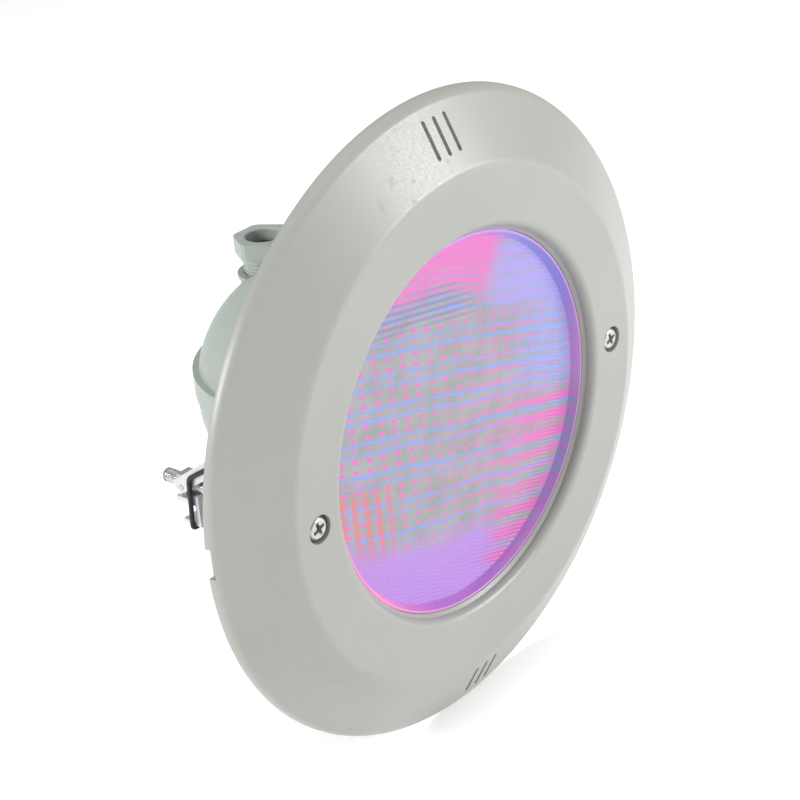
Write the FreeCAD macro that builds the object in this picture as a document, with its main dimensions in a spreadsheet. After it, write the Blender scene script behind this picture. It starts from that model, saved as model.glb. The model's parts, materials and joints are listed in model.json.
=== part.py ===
import FreeCAD, Part
import Sketcher
import math
import os

# Underwater pool light: a trim ring, a sealed lamp, a rear housing with a cable gland
# and, on each side, a long fixing screw that draws a clamping claw against the wall's back.
#
# Frame: the light's axis is Y and its face looks along -Y. Z is up.
# The origin is the centre of the plane in which the trim ring meets the wall.

os.makedirs("parts", exist_ok=True)
doc = FreeCAD.newDocument("PoolLight")

DIMENSIONS = [
    # trim ring
    ("trim_radius", 140.0), ("trim_height", 19.4), ("rim_height", 4.0), ("rim_round", 6.0),
    ("crease_radius", 111.0), ("opening_radius", 83.8), ("opening_round", 4.0),
    ("bore_radius", 82.4), ("bore_front", 14.2), ("lip_back", 11.0), ("trim_wall", 3.2),
    ("skirt_inner", 91.0), ("skirt_outer", 94.0), ("skirt_back", 6.0),
    ("slot_width", 2.0), ("slot_low", 118.0), ("slot_high", 133.0), ("slot_pitch", 6.5),
    ("notch_length", 13.0), ("notch_depth", 2.5), ("notch_height", 3.0),
    ("fixing_boss_radius", 8.2), ("boss_back", 5.25),
    # fixing screws
    ("fixing_offset", 98.0), ("fixing_radius", 3.0), ("fixing_hole", 3.4), ("head_radius", 5.2),
    ("head_pocket", 6.0), ("head_seat", 14.5), ("head_top", 18.9), ("fixing_tip", 65.0),
    ("recess_length", 6.4), ("recess_width", 1.3), ("recess_depth", 2.2),
    ("clip_radius", 5.5), ("clip_front", 1.9), ("clip_thickness", 1.0),
    # rear housing
    ("flange_radius", 108.0), ("flange_front", 5.2), ("flange_back", 2.2),
    ("shoulder_radius", 84.0), ("shoulder_front", 2.4), ("shoulder_back", 0.6),
    ("housing_radius", 88.0), ("housing_wall", 3.0), ("taper_start", 10.0), ("taper_end", 50.0),
    ("dome_radius", 58.0), ("dome_centre", 62.0), ("band_proud", 0.9),
    ("band_low", 3.0), ("band_high", 14.0),
    ("flange_screw_circle", 103.0), ("flange_screw_radius", 1.9), ("flange_boss_radius", 4.2),
    ("flange_head_radius", 3.6), ("flange_screw_depth", 13.0),
    # cable gland
    ("gland_offset", 93.2), ("gland_boss_radius", 12.0), ("gland_mouth_radius", 13.0),
    ("gland_mouth", 47.0), ("gland_relief", 13.6), ("gland_stub_low", 36.0),
    ("thread_radius", 10.0), ("thread_root", 9.5), ("thread_pitch", 1.5),
    ("cable_radius", 7.9), ("seal_radius", 8.9), ("seal_low", 49.0), ("gland_top", 57.0),
    ("nut_radius", 12.0), ("nut_neck", 11.0), ("nut_low", 53.5), ("nut_shoulder", 56.0),
    ("nut_top", 63.2),
    # lamp
    ("lens_mouth", 81.0), ("lens_face_radius", 79.3), ("lens_face", 10.0), ("lens_back", 7.5),
    ("lens_collar", 82.0), ("lens_flange", 9.3), ("lamp_rim", 88.0), ("lamp_radius", 83.0), ("lamp_inner", 80.5),
    ("lamp_tail_radius", 38.0), ("lamp_tail", 70.0), ("lamp_wall", 2.5),
    ("board_radius", 74.0), ("board_face", 1.0), ("board_thickness", 1.6),
    ("led_pitch", 8.0), ("led_side", 5.0), ("led_field", 61.0),
    ("sink_radius", 76.0), ("sink_thickness", 4.0), ("fin_height", 10.0),
    ("driver_radius", 45.0), ("driver_face", 28.0),
    ("terminal_spread", 14.0), ("terminal_end", 77.0), ("lead_radius", 1.2),
    # clamping claws
    ("pivot_offset", 51.0), ("pivot_radius", 1.25), ("claw_nut_length", 7.0),
    ("claw_nut_width", 6.8), ("claw_nut_height", 9.0), ("nut_bore", 3.05),
    ("wing_outer", 5.0), ("wing_inner", 3.8), ("wing_length", 24.0), ("wing_tail", 3.0),
    ("wing_top", 4.1), ("wing_bottom", 2.3), ("wing_angle", 35.0),
    ("hook_front", 42.0), ("hook_sheet", 2.0), ("hook_low", 16.0), ("hook_high", 1.8),
    ("hook_toe", 52.0), ("rubber_radius", 1.0),
]

sheet = doc.addObject("Spreadsheet::Sheet", "Dimensions")
for row, (alias, number) in enumerate(DIMENSIONS, start=1):
    sheet.set(f"A{row}", alias)
    sheet.set(f"B{row}", str(number))
    sheet.setAlias(f"B{row}", alias)
doc.recompute()


class Sizes:
    """The sheet's numbers, read by name."""

    def __getattr__(self, alias):
        return float(sheet.get(alias))


size = Sizes()
KNOWN = {alias: number for alias, number in DIMENSIONS}


def cell(expression):
    """Prefix each dimension name in an expression with the sheet's name."""
    words = []
    for word in expression.replace("(", " ( ").replace(")", " ) ").split():
        sign = "-" if word.startswith("-") and word[1:] in KNOWN else ""
        name = word[len(sign):]
        words.append(sign + "Dimensions." + name if name in KNOWN else word)
    return " ".join(words)


def number(expression):
    """The value of a sum of dimension names and plain numbers."""
    total, sign = 0.0, 1.0
    for word in str(expression).split():
        if word in "+-":
            sign = 1.0 if word == "+" else -1.0
            continue
        flip = -1.0 if word.startswith("-") and word[1:] in KNOWN else 1.0
        name = word[1:] if flip < 0 else word
        total += sign * flip * (getattr(size, name) if name in KNOWN else float(name))
        sign = 1.0
    return total


def bind(thing, target, expression):
    if any(word.lstrip("-") in KNOWN for word in str(expression).split()):
        thing.setExpression(target, cell(str(expression)))


def new_body(name, place=None):
    """A PartDesign body; place holds expressions for its x, y and z."""
    body = doc.addObject("PartDesign::Body", name)
    body.Label = name
    if place:
        body.Placement.Base = FreeCAD.Vector(*[number(p) for p in place])
        for axis, expression in zip("xyz", place):
            bind(body, f"Placement.Base.{axis}", expression)
    return body


def origin_plane(body, role):
    return next(item for item in body.Origin.OriginFeatures if item.Role == role)


def new_sketch(body, name, plane, offset=("0", "0", "0"), turn=0.0):
    """A sketch on one of the body's own planes, shifted in the plane's own axes."""
    sketch = body.newObject("Sketcher::SketchObject", name)
    sketch.AttachmentSupport = (origin_plane(body, plane), [""])
    sketch.MapMode = "FlatFace"
    rotation = FreeCAD.Rotation(FreeCAD.Vector(0, 0, 1), turn)
    base = FreeCAD.Vector(*[number(o) for o in offset])
    sketch.AttachmentOffset = FreeCAD.Placement(base, rotation)
    for axis, expression in zip("xyz", offset):
        bind(sketch, f"AttachmentOffset.Base.{axis}", expression)
    return sketch


def arc_between(start, end, radius, turn):
    """An arc from start to end; turn is +1 anticlockwise or -1 clockwise."""
    middle = (start + end) * 0.5
    chord = end - start
    height = math.sqrt(max(radius ** 2 - (chord.Length / 2) ** 2, 0.0))
    side = FreeCAD.Vector(-chord.y, chord.x, 0).normalize() * height * turn
    centre = middle + side
    circle = Part.Circle(centre, FreeCAD.Vector(0, 0, 1), radius)
    first, last = (start, end) if turn > 0 else (end, start)
    angles = [math.atan2(p.y - centre.y, p.x - centre.x) for p in (first, last)]
    return Part.ArcOfCircle(circle, angles[0], angles[1])


def draw_outline(sketch, outline):
    """A closed outline of (x, y) expressions; (x, y, radius, turn) starts an arc."""
    points = [FreeCAD.Vector(number(p[0]), number(p[1]), 0) for p in outline]
    geometry, ends = [], []
    for index, point in enumerate(points):
        following = points[(index + 1) % len(points)]
        if len(outline[index]) == 4:
            radius, turn = outline[index][2:]
            geometry.append(arc_between(point, following, number(radius), turn))
            ends.append((1, 2) if turn > 0 else (2, 1))
        else:
            geometry.append(Part.LineSegment(point, following))
            ends.append((1, 2))
    base = sketch.GeometryCount
    sketch.addGeometry(geometry, False)
    for index in range(len(points)):
        after = (index + 1) % len(points)
        sketch.addConstraint(Sketcher.Constraint("Coincident", base + index, ends[index][1],
                                                 base + after, ends[after][0]))
    for index, (point, spec) in enumerate(zip(points, outline)):
        for kind, value, expression in (("DistanceX", point.x, spec[0]),
                                        ("DistanceY", point.y, spec[1])):
            row = sketch.addConstraint(Sketcher.Constraint(kind, -1, 1, base + index,
                                                           ends[index][0], value))
            bind(sketch, f"Constraints[{row}]", expression)
        if len(spec) == 4:
            row = sketch.addConstraint(Sketcher.Constraint("Radius", base + index, number(spec[2])))
            bind(sketch, f"Constraints[{row}]", spec[2])


def draw_circle(sketch, x, y, radius):
    centre = FreeCAD.Vector(number(x), number(y), 0)
    circle = Part.Circle(centre, FreeCAD.Vector(0, 0, 1), number(radius))
    index = sketch.addGeometry(circle, False)
    for kind, value, expression in (("DistanceX", centre.x, x), ("DistanceY", centre.y, y)):
        row = sketch.addConstraint(Sketcher.Constraint(kind, -1, 1, index, 3, value))
        bind(sketch, f"Constraints[{row}]", expression)
    row = sketch.addConstraint(Sketcher.Constraint("Radius", index, number(radius)))
    bind(sketch, f"Constraints[{row}]", radius)


def box_outline(left, low, right, high):
    return [(left, low), (right, low), (right, high), (left, high)]


def spin(body, name, outline, plane="XY_Plane", offset=("0", "0", "0"), cut=False):
    """Revolve an outline about its sketch's vertical axis, adding or cutting."""
    sketch = new_sketch(body, name + "_sketch", plane, offset)
    draw_outline(sketch, outline)
    kind = "PartDesign::Groove" if cut else "PartDesign::Revolution"
    feature = body.newObject(kind, name)
    feature.Profile = sketch
    feature.ReferenceAxis = (sketch, ["V_Axis"])
    feature.Angle = 360.0
    body.Tip = feature
    return feature


def pad(body, name, draw, length, plane="XZ_Plane", offset=("0", "0", "0"), turn=0.0,
        cut=False, both=False, back=False):
    """Extrude a sketch that draw fills in, adding or cutting."""
    sketch = new_sketch(body, name + "_sketch", plane, offset, turn)
    draw(sketch)
    feature = body.newObject("PartDesign::Pocket" if cut else "PartDesign::Pad", name)
    feature.Profile = sketch
    feature.Length = number(length)
    bind(feature, "Length", length)
    feature.Midplane = both
    feature.Reversed = back
    body.Tip = feature
    return feature


def polar(body, name, originals, count, axis_role="Y_Axis"):
    doc.recompute()
    feature = body.newObject("PartDesign::PolarPattern", name)
    feature.Originals = originals
    feature.Axis = (origin_plane(body, axis_role), [""])
    feature.Angle = 360.0
    feature.Occurrences = count
    body.Tip = feature
    return feature


def round_rings(body, name, radius, rings, tolerance=0.02, axis="y"):
    """Fillet the circular edges that lie at each (radius, height) about the body's axis."""
    doc.recompute()
    base = body.Tip
    names = []
    for index, edge in enumerate(base.Shape.Edges, start=1):
        curve = edge.Curve
        if not isinstance(curve, Part.Circle):
            continue
        height = getattr(curve.Center, axis)
        for ring_radius, ring_height in rings:
            near = abs(curve.Radius - number(ring_radius)) < tolerance
            if near and abs(height - number(ring_height)) < tolerance:
                names.append(f"Edge{index}")
    if not names:
        raise RuntimeError(f"{name}: no edge found")
    fillet = body.newObject("PartDesign::Fillet", name)
    fillet.Base = (base, names)
    fillet.Radius = number(radius)
    bind(fillet, "Radius", radius)
    body.Tip = fillet
    return fillet


SIDES = (("left", "-fixing_offset"), ("right", "fixing_offset"))


# ---------------------------------------------------------------- trim ring

def make_trim_ring():
    body = new_body("trim_ring")
    wall = "trim_wall"
    spin(body, "TrimShell", [
        ("trim_radius", "0"),
        ("trim_radius", "-rim_height"),
        ("crease_radius", "-trim_height"),
        ("opening_radius", "-trim_height"),
        ("opening_radius", "-trim_height + opening_round"),
        ("bore_radius", "-bore_front"),
        ("bore_radius", "-lip_back"),
        ("skirt_inner", "-lip_back"),
        ("skirt_inner", "-skirt_back"),
        ("skirt_outer", "-skirt_back"),
        ("skirt_outer", f"-trim_height + {wall}"),
        ("crease_radius - 0.9", f"-trim_height + {wall}"),
        (f"trim_radius - {wall}", "-rim_height + 1.6"),
        (f"trim_radius - {wall}", "0"),
    ])
    round_rings(body, "RimRound", "rim_round", [("trim_radius", "-rim_height")])
    round_rings(body, "OpeningRound", "opening_round - 0.05",
                [("opening_radius", "-trim_height")])
    round_rings(body, "CreaseRound", "rim_round", [("crease_radius", "-trim_height")])

    def fixing_boss(sketch):
        draw_circle(sketch, "fixing_offset", "0", "fixing_boss_radius")

    def flange_boss(sketch):
        draw_circle(sketch, "flange_screw_circle", "0", "flange_boss_radius")

    boss_length = "trim_height - trim_wall - boss_back + 0.5"
    first = pad(body, "FixingBoss", fixing_boss, "trim_height - trim_wall - skirt_back + 0.5",
                offset=("0", "0", "skirt_back"))
    polar(body, "FixingBosses", [first], 2)
    doc.recompute()
    small = pad(body, "FlangeBoss", flange_boss, boss_length, offset=("0", "0", "boss_back"),
                turn=30)
    polar(body, "FlangeBosses", [small], 6)
    doc.recompute()
    spin(body, "LampPocket", box_outline("bore_radius", "-lip_back", "skirt_inner", "0"), cut=True)

    def head_pocket(sketch):
        draw_circle(sketch, "fixing_offset", "0", "head_pocket")

    def fixing_hole(sketch):
        draw_circle(sketch, "fixing_offset", "0", "fixing_hole")

    def pilot_hole(sketch):
        draw_circle(sketch, "flange_screw_circle", "0", "flange_screw_radius + 0.05")

    doc.recompute()
    pocket = pad(body, "HeadPocket", head_pocket, "10", offset=("0", "0", "head_seat"),
                 cut=True, back=True)
    polar(body, "HeadPockets", [pocket], 2)
    hole = pad(body, "FixingHole", fixing_hole, "60", cut=True, both=True)
    polar(body, "FixingHoles", [hole], 2)
    doc.recompute()
    pilot = pad(body, "PilotHole", pilot_hole, "flange_screw_depth - boss_back + 0.5", cut=True,
                back=True, offset=("0", "0", "boss_back - 0.1"), turn=30)
    polar(body, "PilotHoles", [pilot], 6)

    def vents(sketch):
        for shift in ("-slot_pitch", "0", "slot_pitch"):
            left = number(shift) - size.slot_width / 2
            right = number(shift) + size.slot_width / 2
            round_end = size.slot_width / 2
            for sign in (1, -1):
                low, high = sign * size.slot_low, sign * size.slot_high
                bottom, top = min(low, high) + round_end, max(low, high) - round_end
                middle = number(shift)
                draw_outline(sketch, [
                    (str(right), str(bottom)),
                    (str(right), str(top), str(round_end), 1),
                    (str(middle), str(top + round_end), str(round_end), 1),
                    (str(left), str(top)),
                    (str(left), str(bottom), str(round_end), 1),
                    (str(middle), str(bottom - round_end), str(round_end), 1),
                ])

    doc.recompute()
    pad(body, "Vents", vents, "60", cut=True, both=True)

    def notches(sketch):
        for sign in ("", "-"):
            near = number("trim_radius") - size.notch_depth
            far = number("trim_radius") + 5
            left, right = (near, far) if not sign else (-far, -near)
            draw_outline(sketch, box_outline(str(left), str(-size.notch_length / 2),
                                             str(right), str(size.notch_length / 2)))

    doc.recompute()
    pad(body, "Notches", notches, "notch_height", cut=True, back=True)
    return body


# ---------------------------------------------------------------- rear housing

def make_housing():
    body = new_body("housing")
    wall = "housing_wall"
    spin(body, "HousingShell", [
        ("0", "dome_centre + dome_radius"),
        ("0", f"dome_centre + dome_radius - {wall}", f"dome_radius - {wall}", -1),
        (f"dome_radius - {wall}", "dome_centre"),
        (f"dome_radius - {wall}", "taper_end - 1"),
        (f"housing_radius - {wall}", "taper_start - 1"),
        (f"housing_radius - {wall}", "shoulder_back"),
        ("shoulder_radius", "shoulder_back"),
        ("shoulder_radius", "-shoulder_front"),
        ("skirt_inner + 0.4", "-shoulder_front"),
        ("skirt_inner + 0.4", "-flange_front"),
        ("flange_radius", "-flange_front"),
        ("flange_radius", "-flange_back"),
        ("housing_radius", "-flange_back"),
        ("housing_radius", "taper_start"),
        ("dome_radius", "taper_end"),
        ("dome_radius", "dome_centre", "dome_radius", 1),
    ])

    def stub(sketch):
        draw_circle(sketch, "0", "gland_offset", "gland_relief + 3")

    doc.recompute()
    pad(body, "GlandStub", stub, "20", plane="XY_Plane", offset=("0", "0", "gland_stub_low"))
    spin(body, "DomeTrim", [
        ("0", "dome_centre + dome_radius", "dome_radius", -1),
        ("dome_radius", "dome_centre"),
        ("dome_radius + 30", "dome_centre"),
        ("dome_radius + 30", "dome_centre + dome_radius + 30"),
        ("0", "dome_centre + dome_radius + 30"),
    ], cut=True)
    spin(body, "GlandBoss", [
        ("0", "gland_stub_low"), ("gland_boss_radius", "gland_stub_low"),
        ("gland_boss_radius", "gland_mouth - 3.2"), ("gland_mouth_radius", "gland_mouth - 1.8"),
        ("gland_mouth_radius", "gland_mouth"), ("0", "gland_mouth"),
    ], plane="XZ_Plane", offset=("0", "0", "-gland_offset"))
    doc.recompute()

    def relief(sketch):
        draw_circle(sketch, "0", "gland_offset", "gland_relief")

    def gland_bore(sketch):
        draw_circle(sketch, "0", "gland_offset", "thread_radius + 0.05")

    pad(body, "GlandRelief", relief, "20", plane="XY_Plane", offset=("0", "0", "gland_mouth"),
        cut=True, back=True)
    pad(body, "GlandBore", gland_bore, "30", plane="XY_Plane", offset=("0", "0", "20"),
        cut=True, back=True)
    doc.recompute()

    def dome_band(sketch):
        outer, inner = "dome_radius + band_proud", "dome_radius - 2"
        draw_outline(sketch, [
            (outer, "dome_centre", outer, 1),
            ("0", f"dome_centre + {outer}", outer, 1),
            ("-dome_radius - band_proud", "dome_centre"),
            ("-dome_radius + 2", "dome_centre", inner, -1),
            ("0", f"dome_centre + {inner}", inner, -1),
            (inner, "dome_centre"),
        ])

    pad(body, "DomeBand", dome_band, "band_high - band_low", plane="XY_Plane",
        offset=("0", "0", "band_low"))
    doc.recompute()

    def fixing_hole(sketch):
        draw_circle(sketch, "fixing_offset", "0", "fixing_hole")
        draw_circle(sketch, "-fixing_offset", "0", "fixing_hole")

    def screw_hole(sketch):
        draw_circle(sketch, "flange_screw_circle", "0", "flange_screw_radius + 0.3")

    pad(body, "FixingHoles", fixing_hole, "20", cut=True, both=True)
    doc.recompute()
    hole = pad(body, "ScrewHole", screw_hole, "20", cut=True, both=True, turn=30)
    polar(body, "ScrewHoles", [hole], 6)
    return body


def make_flange_hardware():
    seal = new_body("housing_seal")
    spin(seal, "SealRing", box_outline("skirt_inner + 0.4", "-skirt_back + 0.02",
                                       "skirt_outer + 0.2", "-flange_front - 0.02"))
    screws = new_body("housing_screws")
    screws.AllowCompound = True
    screw = spin(screws, "FlangeScrew", [
        ("0", "-flange_screw_depth"), ("flange_screw_radius", "-flange_screw_depth + 2"),
        ("flange_screw_radius", "-flange_back + 0.02"), ("flange_head_radius", "-flange_back + 0.02"),
        ("flange_head_radius - 0.5", "-0.1"), ("0", "-0.1"),
    ], offset=("flange_screw_circle", "0", "0"))
    polar(screws, "FlangeScrews", [screw], 6)
    screws.Placement.Rotation = FreeCAD.Rotation(FreeCAD.Vector(0, 1, 0), -30)
    ring = new_body("lamp_clamp_ring")
    spin(ring, "ClampRing", box_outline("lamp_radius + 0.1", "-flange_front + 0.65", "skirt_inner - 0.4",
                                        "-shoulder_front - 0.05"))
    return [seal, screws, ring]


# ---------------------------------------------------------------- cable gland

def make_gland():
    place = ("0", "gland_offset", "0")
    body = new_body("gland_body", place)
    outline = [("cable_radius", "gland_stub_low - 1"), ("thread_root", "gland_stub_low - 1")]
    ridges = 6
    for ridge in range(ridges):
        low = f"gland_mouth + {0.3 + ridge * size.thread_pitch}"
        outline += [("thread_root", low), ("thread_radius", f"{low} + 0.6"),
                    ("thread_radius", f"{low} + 0.8"), ("thread_root", f"{low} + 1.4")]
    outline += [("thread_root", "gland_top"), ("seal_radius + 0.03", "gland_top"),
                ("seal_radius + 0.03", "seal_low"), ("cable_radius", "seal_low")]
    spin(body, "GlandNipple", outline, plane="XZ_Plane")

    seal = new_body("gland_seal", place)
    spin(seal, "SealBush", box_outline("cable_radius", "seal_low + 0.05", "seal_radius",
                                       "gland_top - 0.9"), plane="XZ_Plane")
    washer = new_body("gland_washer", place)
    spin(washer, "SealWasher", box_outline("cable_radius", "gland_top - 0.85", "seal_radius",
                                           "gland_top - 0.05"), plane="XZ_Plane")

    nut = new_body("gland_nut", place)
    spin(nut, "NutBlank", [
        ("cable_radius", "nut_top"), ("cable_radius", "gland_top + 0.4"),
        ("thread_radius + 0.08", "gland_top + 0.4"), ("thread_radius + 0.08", "nut_low"),
        ("nut_neck", "nut_low"), ("nut_neck", "nut_shoulder - 1.2"),
        ("nut_radius + 1.2", "nut_shoulder"), ("nut_radius + 1.2", "nut_top"),
    ], plane="XZ_Plane")
    doc.recompute()

    def hexagon_cut(sketch):
        flat = size.nut_radius
        corner = flat / math.cos(math.pi / 6)
        outer = flat * 2
        draw_outline(sketch, [(str(corner * math.cos(math.radians(60 * k))),
                               str(corner * math.sin(math.radians(60 * k))))
                              for k in range(6)])
        draw_circle(sketch, "0", "0", str(outer))

    pad(nut, "NutFlats", hexagon_cut, "40", plane="XY_Plane", offset=("0", "0", "40"),
        cut=True, back=True)
    round_rings(nut, "MouthRound", "0.8", [("cable_radius", "nut_top")], axis="z")
    return [body, seal, washer, nut]


# ---------------------------------------------------------------- lamp

def make_lens():
    body = new_body("lamp_lens")
    spin(body, "LensShell", [
        ("0", "-lens_face"), ("lens_face_radius", "-lens_face"), ("lens_mouth", "-bore_front"),
        ("lens_collar", "-bore_front"), ("lens_collar", "-lens_flange"), ("lamp_rim", "-lens_flange"),
        ("lamp_rim", "-lens_back"), ("0", "-lens_back"),
    ])
    return body


def make_lamp_gasket():
    body = new_body("lamp_gasket")
    spin(body, "GasketProfile", [
        ("lamp_rim - 5", "-lip_back + 0.03"), ("skirt_inner - 0.2", "-lip_back + 0.03"),
        ("skirt_inner - 0.2", "-4.6"), ("lamp_rim - 4", "-4.6"), ("lamp_rim - 4", "-5.85"),
        ("lamp_rim + 0.05", "-5.85"), ("lamp_rim + 0.05", "-9.35"), ("lamp_rim - 5", "-9.35"),
    ])
    return body


def make_lamp_shell():
    body = new_body("lamp_shell")
    wall = "lamp_wall"
    spin(body, "LampBowl", [
        ("lamp_inner", "-lens_back + 0.05"), ("lamp_rim", "-lens_back + 0.05"), ("lamp_rim", "-5.9"),
        ("lamp_radius", "-5.9"), ("lamp_radius", "6"), ("lamp_tail_radius", "lamp_tail - 8"),
        ("lamp_tail_radius", "lamp_tail"), ("0", "lamp_tail"), ("0", f"lamp_tail - {wall}"),
        (f"lamp_tail_radius - {wall}", f"lamp_tail - {wall}"),
        (f"lamp_tail_radius - {wall}", "lamp_tail - 9"), ("lamp_inner", "5"),
    ])

    def holes(sketch):
        for sign in ("", "-"):
            draw_circle(sketch, f"{sign}terminal_spread", "0", "3.03")

    doc.recompute()
    pad(body, "TerminalHoles", holes, "20", offset=("0", "0", "-lamp_tail - 5"), cut=True,
        back=False, both=True)
    return body


def make_optic_plate():
    body = new_body("optic_plate")
    spin(body, "OpticDisc", box_outline("0", "-2.2", "board_radius", "-0.9"))
    return body


def make_led_board():
    body = new_body("led_board")
    spin(body, "BoardDisc", box_outline("0", "board_face", "board_radius",
                                        "board_face + board_thickness"))

    def hole(sketch):
        draw_circle(sketch, "board_radius - 7", "0", "1.6")

    doc.recompute()
    first = pad(body, "BoardHole", hole, "20", cut=True, both=True)
    polar(body, "BoardHoles", [first], 4)
    return body


def led_places():
    """Grid places inside the light field, each with its colour's number."""
    reach = int(size.led_field // size.led_pitch)
    for column in range(-reach, reach + 1):
        for line in range(-reach, reach + 1):
            x, z = column * size.led_pitch, line * size.led_pitch
            if math.hypot(x, z) <= size.led_field:
                yield x, z, (column + 2 * line) % 3


def make_leds():
    nodes = []
    for index, colour in enumerate(("red", "green", "blue")):
        side = size.led_side
        chips = [Part.makeBox(side, 1.58, side, FreeCAD.Vector(x - side / 2, -0.6, z - side / 2))
                 for x, z, which in led_places() if which == index]
        node = doc.addObject("Part::Feature", f"leds_{colour}")
        node.Label = f"leds_{colour}"
        node.Shape = Part.makeCompound(chips)
        nodes.append(node)
    return nodes


def make_heat_sink():
    body = new_body("heat_sink")
    front = "board_face + board_thickness + 0.05"
    back = "board_face + board_thickness + sink_thickness"
    spin(body, "SinkPlate", box_outline("0", front, "sink_radius", back))

    def fin(sketch):
        draw_outline(sketch, box_outline("15", "-1.2", "60", "1.2"))

    def hole(sketch):
        draw_circle(sketch, "board_radius - 7", "0", "1.45")

    doc.recompute()
    first = pad(body, "Fin", fin, "fin_height + 1", back=True,
                offset=("0", "0", "-board_face - board_thickness - sink_thickness + 1"))
    polar(body, "Fins", [first], 12)
    doc.recompute()
    opening = pad(body, "SinkHole", hole, "40", cut=True, both=True, turn=0)
    polar(body, "SinkHoles", [opening], 4)
    return body


def make_board_screws():
    body = new_body("board_screws")
    body.AllowCompound = True
    screw = spin(body, "BoardScrew", [
        ("0", "-0.7"), ("2.2", "-0.7"), ("2.7", "board_face - 0.02"),
        ("1.4", "board_face - 0.02"), ("1.4", "6"), ("0", "6"),
    ], offset=("board_radius - 7", "0", "0"))
    polar(body, "BoardScrews", [screw], 4)
    return body


def make_driver():
    board = new_body("driver_board")
    spin(board, "DriverDisc", box_outline("0", "driver_face", "driver_radius",
                                          "driver_face + board_thickness"))
    spacers = new_body("driver_spacers")
    spacers.AllowCompound = True
    spacer = spin(spacers, "Spacer", box_outline(
        "0", "board_face + board_thickness + sink_thickness + 0.05", "3", "driver_face - 0.05"),
        offset=("driver_radius - 6", "0", "0"))
    polar(spacers, "Spacers", [spacer], 3)
    spacers.Placement.Rotation = FreeCAD.Rotation(FreeCAD.Vector(0, 1, 0), 15)

    top = size.driver_face + size.board_thickness + 0.05
    back = FreeCAD.Vector(0, 1, 0)
    pieces = [
        Part.makeCylinder(5.0, 14.0, FreeCAD.Vector(-24, top, 12), back),
        Part.makeCylinder(5.0, 14.0, FreeCAD.Vector(-24, top, -2), back),
        Part.makeBox(16, 10, 14, FreeCAD.Vector(14, top, 8)),
        Part.makeBox(12, 4, 12, FreeCAD.Vector(-6, top, 18)),
        Part.makeCylinder(8.0, 6.0, FreeCAD.Vector(0, top, 0), back).cut(
            Part.makeCylinder(3.5, 7.0, FreeCAD.Vector(0, top - 0.2, 0), back)),
        Part.makeBox(10, 5, 5, FreeCAD.Vector(-20, top, -28)),
    ]
    parts = doc.addObject("Part::Feature", "driver_parts")
    parts.Label = "driver_parts"
    parts.Shape = Part.makeCompound(pieces)
    return [board, spacers, parts]


def make_terminals():
    posts = new_body("terminal_posts")
    posts.AllowCompound = True
    post = spin(posts, "Post", [
        ("0", "lamp_tail - 6"), ("3", "lamp_tail - 6"), ("3", "terminal_end"),
        ("1.55", "terminal_end"), ("1.55", "terminal_end - 6"), ("0", "terminal_end - 6"),
    ], offset=("terminal_spread", "0", "0"))
    polar(posts, "Posts", [post], 2)
    screws = new_body("terminal_screws")
    screws.AllowCompound = True
    screw = spin(screws, "PostScrew", [
        ("0", "terminal_end - 5.5"), ("1.5", "terminal_end - 5.5"),
        ("1.5", "terminal_end + 0.05"), ("3.6", "terminal_end + 0.05"),
        ("3.2", "terminal_end + 2.4"), ("0", "terminal_end + 2.4"),
    ], offset=("terminal_spread", "0", "0"))
    polar(screws, "PostScrews", [screw], 2)
    return [posts, screws]


def tube_path(points, radius):
    """Straight runs through the points, joined by tangent arcs of one radius."""
    edges, start = [], points[0]
    for before, corner, after in zip(points, points[1:], points[2:]):
        to_corner = (corner - before).normalize()
        from_corner = (after - corner).normalize()
        half_turn = to_corner.getAngle(from_corner) / 2
        reach = radius * math.tan(half_turn)
        first, last = corner - to_corner * reach, corner + from_corner * reach
        bisector = (from_corner - to_corner).normalize()
        middle = corner + bisector * (radius / math.cos(half_turn) - radius)
        edges.append(Part.LineSegment(start, first).toShape())
        edges.append(Part.Arc(first, middle, last).toShape())
        start = last
    edges.append(Part.LineSegment(start, points[-1]).toShape())
    return Part.Wire(edges)


def tube(wire, radius):
    start = wire.Edges[0]
    circle = Part.makeCircle(radius, start.valueAt(start.FirstParameter),
                             start.tangentAt(start.FirstParameter))
    pipe = wire.makePipeShell([Part.Wire([circle])], True, True)
    print("tube radius", radius, "length", round(wire.Length, 1),
          "volume ratio", round(pipe.Volume / (math.pi * radius ** 2 * wire.Length), 4))
    return pipe


def make_leads():
    nodes = []
    board_back = size.driver_face + size.board_thickness + 0.05
    for name, side in (("lead_live", -1), ("lead_neutral", 1)):
        x = side * size.terminal_spread
        route = [FreeCAD.Vector(x, board_back, -20), FreeCAD.Vector(x, 44, -20),
                 FreeCAD.Vector(x, 54, 0), FreeCAD.Vector(x, size.lamp_tail - 6.05, 0)]
        node = doc.addObject("Part::Feature", name)
        node.Label = name
        node.Shape = tube(tube_path(route, 7.0), size.lead_radius)
        nodes.append(node)
    return nodes


# ---------------------------------------------------------------- fixing screws and claws

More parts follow.
